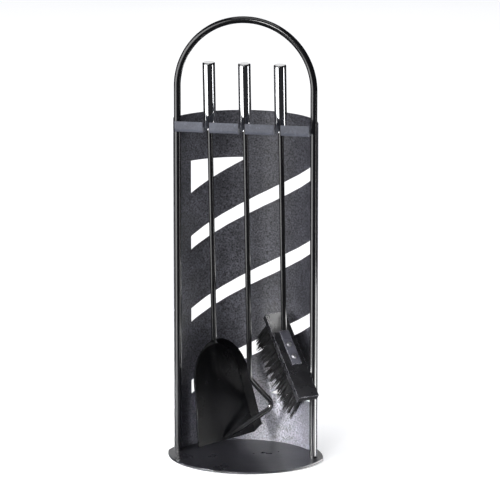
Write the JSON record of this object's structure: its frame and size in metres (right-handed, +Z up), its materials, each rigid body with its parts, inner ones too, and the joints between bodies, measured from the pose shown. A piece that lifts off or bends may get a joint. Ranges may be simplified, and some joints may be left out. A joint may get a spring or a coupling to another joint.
{
  "type": "fireplace tool set",
  "caption": "Free-standing fireplace companion set: a round-wire hoop stand with a curved slotted back panel and a notched rail that holds a shovel, a poker and a brush.",
  "frame": {"origin": "on the floor, under the middle of the base plate and of the hoop", "axes": "+Z up, +X to the right along the rail, -Y towards the front, where the tools hang"},
  "size_m": [0.23, 0.2, 0.65],
  "materials": {
    "stand_coat": "anthracite powder coat, satin with a fine grain",
    "tool_coat": "black semi-gloss enamel",
    "pan_coat": "black satin enamel",
    "handle_steel": "polished stainless steel",
    "zinc_screw": "bright zinc plate",
    "pad_rubber": "matt",
    "bush_plastic": "matt black",
    "block_plastic": "black, lightly grained",
    "bristle_fibre": "coarse black synthetic bristle"
  },
  "bodies": {
    "stand": {"base_plate": "stand_coat", "foot_pads": "pad_rubber", "leg_screws": "zinc_screw", "frame_hoop": "stand_coat", "back_panel": "stand_coat", "hanger_rail": "stand_coat"},
    "shovel": {"shovel_handle": "handle_steel", "shovel_end_cap": "handle_steel", "shovel_bush": "bush_plastic", "shovel_rod": "tool_coat", "shovel_pan": "pan_coat"},
    "poker": {"poker_handle": "handle_steel", "poker_end_cap": "handle_steel", "poker_bush": "bush_plastic", "poker_rod": "tool_coat"},
    "brush": {"brush_handle": "handle_steel", "brush_end_cap": "handle_steel", "brush_bush": "bush_plastic", "brush_rod": "tool_coat", "brush_bracket": "tool_coat", "brush_block": "block_plastic", "brush_bristles": "bristle_fibre", "brush_screws": "zinc_screw"}
  },
  "joints": [
    {"name": "shovel_lift", "type": "slide", "parent": "stand", "child": "shovel", "axis": [0, -0.0785, 0.9969], "range_m": [0, 0.025]},
    {"name": "poker_lift", "type": "slide", "parent": "stand", "child": "poker", "axis": [0, -0.0785, 0.9969], "range_m": [0, 0.025]},
    {"name": "brush_lift", "type": "slide", "parent": "stand", "child": "brush", "axis": [0, -0.0785, 0.9969], "range_m": [0, 0.025]}
  ]
}
